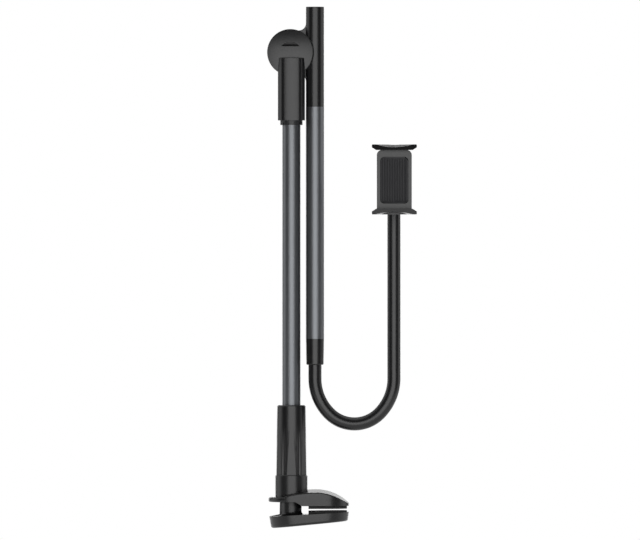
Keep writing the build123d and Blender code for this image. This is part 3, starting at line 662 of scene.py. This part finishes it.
def grooved(name, node, body, slot, radius, pitch, start, end, reach, turn, round_from=PAST_EVERY_PAD):
    """Replaces a packed pad by one with grooves, in a row from start to about end."""
    start, end = Vector(start), Vector(end)
    count = int((end - start).length / pitch) + 1
    step = (end - start).normalized() * pitch
    sizes = {
        "Count": count, "Start": start, "Step": step, "Turn": turn, "Reach": reach,
        "Round From": round_from, "Groove Radius": radius, "Finish": FINISH[slot],
    }
    piece = grown(name, merged_copy(node), grooves, sizes)
    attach(piece, body)
    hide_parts(node)


def grooved_jaw_pad(name, node, body, z, slope):
    """Pad of the clamp with grooves across it, in the face that passes z at the tip."""
    low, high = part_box(node)
    half = (high.y - low.y) / 2
    first, last = low.x + PAD_BORDER + PAD_GROOVE_R, high.x - 2 * PAD_BORDER
    grooved(
        name, node, body, "pad_rubber", PAD_GROOVE_R, PAD_PITCH,
        (first, 0, z - slope * (high.x - first)), (last, 0, z - slope * (high.x - last)),
        half - PAD_BORDER, GROOVES_CROSSWISE, high.x - half,
    )


def grooved_grip_lining(name, node, body, z):
    """Lining of one of the clip's jaws with grooves from front to back, in its face at z."""
    low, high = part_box(node)
    middle = (low.y + high.y) / 2
    edge = LINING_BORDER + LINING_GROOVE_R
    grooved(
        name, node, body, "silicone", LINING_GROOVE_R, LINING_PITCH,
        (low.x + edge, middle, z), (high.x - edge, middle, z), high.y - middle - LINING_BORDER,
        GROOVES_CROSSWISE,
    )


upper_pad_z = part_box("upper_jaw_pad")[0].z - PAD_GROOVE_LIFT
lower_pad_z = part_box("lower_jaw_pad")[1].z + PAD_GROOVE_LIFT
upper_lining_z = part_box("clip_upper_pad")[0].z - LINING_GROOVE_LIFT
lower_lining_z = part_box("clip_lower_pad")[1].z + LINING_GROOVE_LIFT
grooved_jaw_pad("upper_jaw_grooved_pad", "upper_jaw_pad", "clamp", upper_pad_z, 0.0)
grooved_jaw_pad("lower_jaw_grooved_pad", "lower_jaw_pad", "moving_jaw", lower_pad_z, PAD_SLOPE)
grooved_grip_lining("clip_upper_lining", "clip_upper_pad", "clip_jaw", upper_lining_z)
grooved_grip_lining("clip_lower_lining", "clip_lower_pad", "clip", lower_lining_z)
back_low, back_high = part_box("clip_back_pad")
back_y = back_low.y - LINING_GROOVE_LIFT
back_z = (back_low.z + back_high.z) / 2
back_edge = LINING_BORDER + LINING_GROOVE_R
grooved(
    "clip_back_lining", "clip_back_pad", "clip", "silicone", LINING_GROOVE_R, LINING_PITCH,
    (back_low.x + back_edge, back_y, back_z), (back_high.x - back_edge, back_y, back_z),
    back_high.z - back_z - LINING_BORDER, GROOVES_UPRIGHT,
)


# Hinge sleeve


def prism(outline, low, high):
    """Closed upright prism on an outline of (x, y) points that goes round anticlockwise."""
    mesh = bpy.data.meshes.new("prism")
    count = len(outline)
    corners = [(x, y, z) for z in (low, high) for x, y in outline]
    ends = [tuple(reversed(range(count))), tuple(range(count, 2 * count))]
    sides = [(i, (i + 1) % count, (i + 1) % count + count, i + count) for i in range(count)]
    mesh.from_pydata(corners, [], ends + sides)
    return mesh


def carve(piece, tool_mesh, operation):
    """Joins a closed shape to a piece, or cuts it away."""
    tool = placed("tool", tool_mesh)
    step = piece.modifiers.new("carved", "BOOLEAN")
    step.solver = "MANIFOLD"
    step.operation = operation
    step.object = tool
    piece.data = evaluated_mesh(piece)
    piece.modifiers.clear()
    bpy.data.objects.remove(tool)


def add_bend(points, turned, bend):
    """Goes on from the last point round a bend, from a heading that it gives back turned further."""
    radius, angle = bend
    for _ in range(BEND_STEPS):
        x, y = points[-1]
        after = turned + math.radians(angle) / BEND_STEPS
        x += radius * (math.sin(after) - math.sin(turned))
        y += radius * (math.cos(turned) - math.cos(after))
        points.append((x, y))
        turned = after
    return turned


def sleeve_outline(radius, front):
    """Right half of the sleeve's section, from the middle of its front to its side."""
    points = [(0.0, front)]
    turned = add_bend(points, 0.0, SLEEVE_FRONT_BEND)
    turned = add_bend(points, turned, SLEEVE_CORNER_BEND)
    x, y = points[-1]
    flank = radius - x - SLEEVE_SIDE_BEND[0] * (1 - math.sin(turned))
    points.append((x + flank, y + flank * math.tan(turned)))
    add_bend(points, turned, SLEEVE_SIDE_BEND)
    return points + [(radius - 2 * HAIR, SLEEVE_BACK_Y)]


def inner_arc(radius, back):
    """Arc round the front of the sleeve's wall, from right to left, with its ends at a given depth."""
    start = math.asin(back / radius)
    sweep = math.pi + 2 * start
    angles = [start - sweep * i / WALL_STEPS for i in range(WALL_STEPS + 1)]
    return [(radius * math.cos(a), radius * math.sin(a)) for a in angles]


head_low, head_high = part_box("hinge_head")
tube_low, tube_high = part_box("lower_tube")
COLUMN_X = (tube_low.x + tube_high.x) / 2
SLEEVE_R = -head_low.y
HINGE_Z = head_high.z - (head_high.x - head_low.x) / 2
SLEEVE_TOP = HINGE_Z - SLEEVE_TOP_BELOW_HINGE
right = sleeve_outline(SLEEVE_R, SLEEVE_FRONT_IN - SLEEVE_R)
new_wall = [(-x, y) for x, y in reversed(right)] + right[1:]
new_wall += inner_arc(SLEEVE_INNER_R - SLEEVE_OVERLAP, SLEEVE_BACK_Y)
wide = 2 * SLEEVE_R
old_wall = [(-wide, DISC_FACE_Y), (-wide, -wide), (wide, -wide), (wide, DISC_FACE_Y)]
old_wall += inner_arc(SLEEVE_INNER_R + SLEEVE_OVERLAP, DISC_FACE_Y)
hinge_sleeve = placed("hinge_head_flat_front", merged_copy("hinge_head"))
for outline, low, high, operation in (
    (old_wall, head_low.z - MM, SLEEVE_TOP + MM, "DIFFERENCE"),
    (new_wall, head_low.z + HAIR, SLEEVE_TOP - HAIR, "UNION"),
):
    carve(hinge_sleeve, prism([(COLUMN_X + x, y) for x, y in outline], low, high), operation)
hinge_sleeve.data.materials.clear()
hinge_sleeve.data.materials.append(FINISH["black_abs"])
hinge_sleeve.data.shade_smooth()
hinge_sleeve.data.set_sharp_from_angle(angle=SLEEVE_SHARP_EDGE)
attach(hinge_sleeve, "head")
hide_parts("hinge_head")


# Studio


def softbox(name, azimuth, elevation, distance, width, height, radiance):
    """Area lamp aimed at the middle of the object; azimuth 0 is the camera's side."""
    low, high = cad_box
    middle = (low + high) / 2
    a, e = math.radians(azimuth), math.radians(elevation)
    out = Vector((math.sin(a) * math.cos(e), -math.cos(a) * math.cos(e), math.sin(e)))
    lamp = bpy.data.lights.new(name, "AREA")
    lamp.shape = "RECTANGLE"
    lamp.size = width
    lamp.size_y = height
    lamp.energy = radiance * math.pi * width * height
    holder = placed(name, lamp)
    holder.location = middle + out * distance
    holder.rotation_mode = "QUATERNION"
    holder.rotation_quaternion = (-out).to_track_quat("-Z", "Y")
    holder.visible_camera = False


def soft_step(tree, value, limits, results):
    """Value that goes smoothly from the first result to the second between two limits."""
    step = add(
        tree, "ShaderNodeMapRange",
        {"Value": value, "From Min": limits[0], "From Max": limits[1],
         "To Min": results[0], "To Max": results[1]},
        interpolation_type="SMOOTHSTEP",
    )
    return step.outputs["Result"]


def white_room():
    """World that is white to the camera and, in reflections, a white sweep at both sides of a dim room."""
    world = bpy.data.worlds.new("white sweep")
    world.use_nodes = True
    tree = world.node_tree
    tree.nodes.clear()
    path = add(tree, "ShaderNodeLightPath").outputs
    toward = add(tree, "ShaderNodeTexCoord").outputs["Generated"]
    depth = add(tree, "ShaderNodeSeparateXYZ", {"Vector": toward}).outputs["Y"]
    front_edge = soft_step(tree, depth, SWEEP_FRONT_EDGE, (SWEEP_FRONT_REST, 1.0))
    rear_edge = soft_step(tree, depth, SWEEP_REAR_EDGE, (1.0, SWEEP_REAR_REST))
    sweep = reckon(tree, "MULTIPLY", front_edge, rear_edge)
    mirrored = reckon(tree, "MAXIMUM", path["Is Glossy Ray"], path["Is Transmission Ray"])
    room, shown, white = [
        add(tree, "ShaderNodeBackground", {"Color": linear("#ffffff"), "Strength": s}).outputs["Background"]
        for s in (ROOM_STRENGTH, sweep, 1.0)
    ]
    reflected = add(tree, "ShaderNodeMixShader", {"Fac": mirrored, 1: room, 2: shown}).outputs["Shader"]
    seen = add(tree, "ShaderNodeMixShader", {"Fac": path["Is Camera Ray"], 1: reflected, 2: white})
    add(tree, "ShaderNodeOutputWorld", {"Surface": seen.outputs["Shader"]})
    bpy.context.scene.world = world


def white_floor():
    """Round white floor below the opened clamp, which keeps the shadow and fades into the background."""
    material = bpy.data.materials.new("white floor paper")
    material.use_nodes = True
    tree = material.node_tree
    tree.nodes.clear()
    path = add(tree, "ShaderNodeLightPath").outputs
    place = add(tree, "ShaderNodeTexCoord").outputs["Object"]
    reach = add(tree, "ShaderNodeVectorMath", {0: place}, operation="LENGTH").outputs["Value"]
    fade = soft_step(tree, reach, (FADE_FROM, FLOOR_R - FADE_RIM), (FADE_LEAST, 1.0))
    direct = reckon(tree, "MAXIMUM", path["Is Camera Ray"], path["Is Glossy Ray"])
    direct = reckon(tree, "MAXIMUM", direct, path["Is Transmission Ray"])
    share = reckon(tree, "MULTIPLY", fade, direct)
    paper = add(tree, "ShaderNodeBsdfDiffuse", {"Color": linear("#f4f4f4")})
    white = add(tree, "ShaderNodeEmission", {"Color": linear("#ffffff"), "Strength": 1.0})
    surface = add(
        tree, "ShaderNodeMixShader", {"Fac": share, 1: paper.outputs["BSDF"], 2: white.outputs["Emission"]}
    )
    add(tree, "ShaderNodeOutputMaterial", {"Surface": surface.outputs["Shader"]})
    low, high = cad_box
    sheet = bpy.data.meshes.new("floor")
    angles = [2 * math.pi * i / FLOOR_SIDES for i in range(FLOOR_SIDES)]
    rim = [(FLOOR_R * math.cos(a), FLOOR_R * math.sin(a), 0) for a in angles]
    sheet.from_pydata(rim, [], [range(FLOOR_SIDES)])
    sheet.materials.append(material)
    floor = placed("floor", sheet)
    floor.location = ((low.x + high.x) / 2, 0, low.z - JAW_TRAVEL - FLOOR_GAP)


def photo_camera():
    """Camera level in front of the object, framed as the photograph."""
    lens = bpy.data.cameras.new("camera")
    lens.sensor_width = SENSOR_MM
    lens.lens = SENSOR_MM * CAMERA_DISTANCE / (PHOTO_WIDTH_PX * MM_PER_PX * MM)
    camera = placed("camera", lens)
    camera.location = (
        COLUMN_X + (PHOTO_WIDTH_PX / 2 - COLUMN_PX) * MM_PER_PX * MM,
        -CAMERA_DISTANCE,
        (TABLE_PX - PHOTO_HEIGHT_PX / 2) * MM_PER_PX * MM,
    )
    camera.rotation_euler = (math.radians(90), 0, 0)
    bpy.context.scene.camera = camera


for name, settings in SOFTBOXES.items():
    softbox(name, *settings)
white_floor()
white_room()
photo_camera()
bpy.context.scene.view_settings.view_transform = "Standard"
